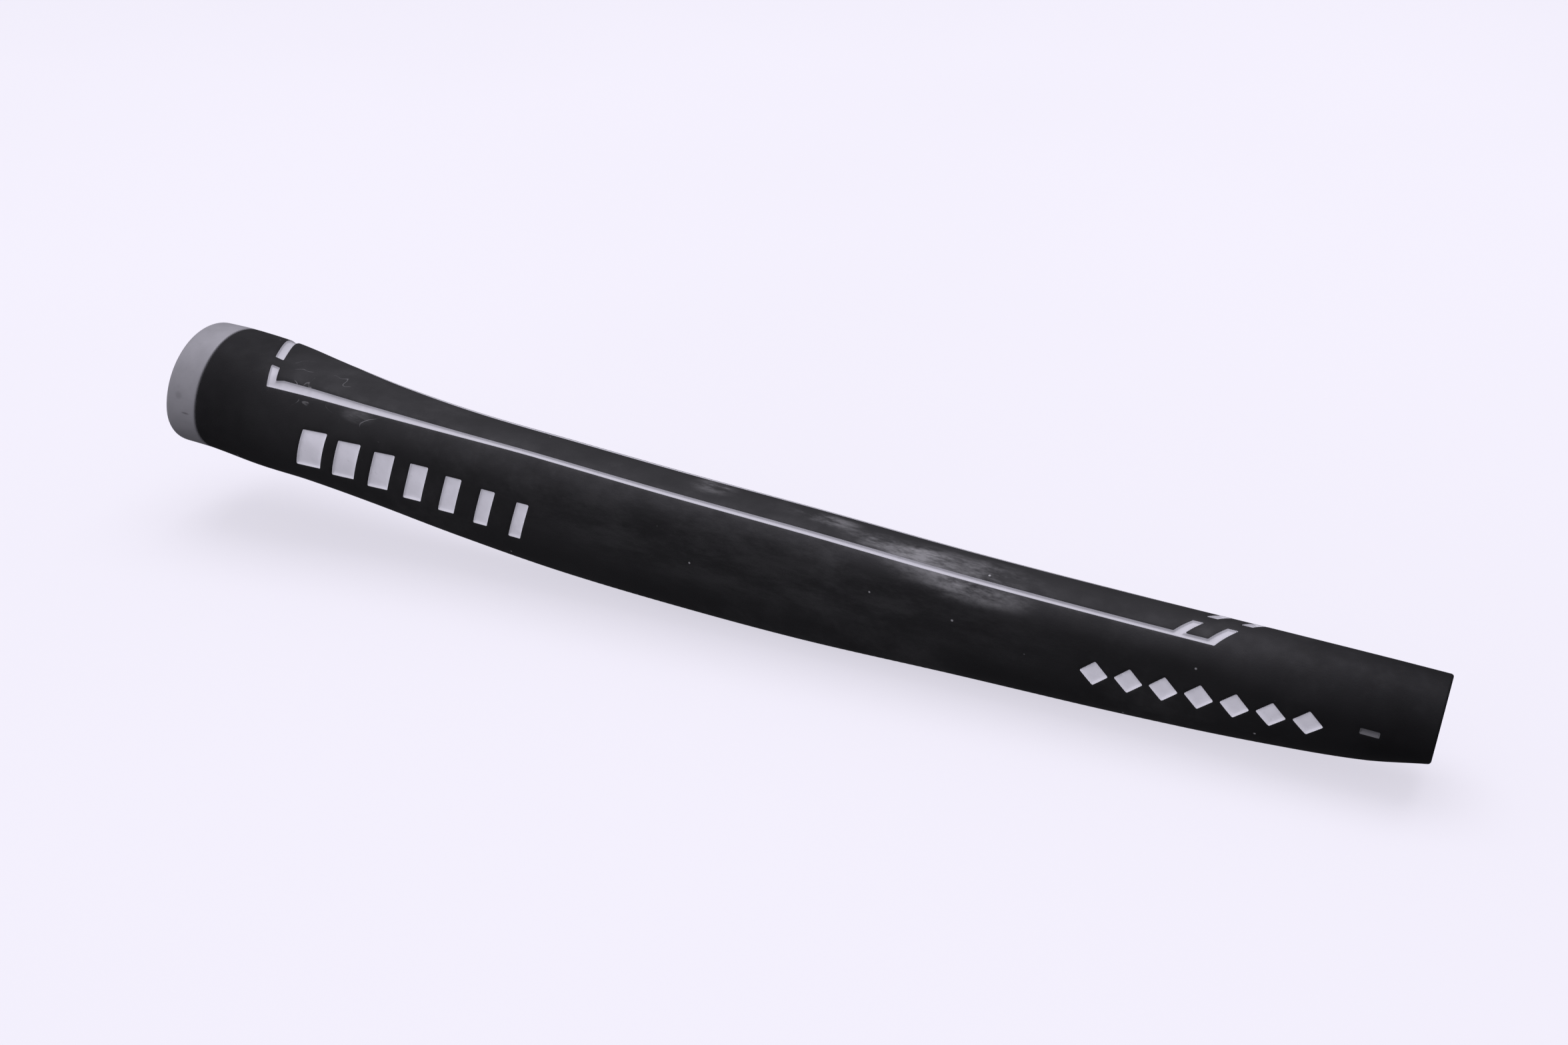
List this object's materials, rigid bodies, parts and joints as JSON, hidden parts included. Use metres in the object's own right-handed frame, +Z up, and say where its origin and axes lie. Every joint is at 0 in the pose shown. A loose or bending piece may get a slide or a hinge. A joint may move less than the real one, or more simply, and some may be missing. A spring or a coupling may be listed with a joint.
{
  "type": "golf grip",
  "caption": "Pistol-shaped putter grip: a black rubber sleeve with a blind shaft bore, a grey butt cap and shallow paint-filled recesses on its top and flank.",
  "frame": {"origin": "centre of the bounding box in plan, at the lowest point of the underside", "axes": "+X along the shaft bore from the butt cap to the mouth, +Z up to the thumb side, +Y away from the marked flank"},
  "size_m": [0.2684, 0.0284, 0.0359],
  "materials": {
    "rubber": "matte with a fine moulded grain, dusty in places",
    "cap": "satin",
    "outline_paint": "satin paint fill",
    "mark_paint": "satin paint fill",
    "patch_paint": "dull paint fill"
  },
  "bodies": {
    "root": {"sleeve": "rubber", "butt_cap": "cap", "outline_near": "outline_paint", "outline_far": "outline_paint", "flank_bar_1": "mark_paint", "flank_bar_2": "mark_paint", "flank_bar_3": "mark_paint", "flank_bar_4": "mark_paint", "flank_bar_5": "mark_paint", "flank_bar_6": "mark_paint", "flank_bar_7": "mark_paint", "flank_diamond_1": "mark_paint", "flank_diamond_2": "mark_paint", "flank_diamond_3": "mark_paint", "flank_diamond_4": "mark_paint", "flank_diamond_5": "mark_paint", "flank_diamond_6": "mark_paint", "flank_diamond_7": "mark_paint", "flank_patch": "patch_paint"}
  },
  "joints": []
}
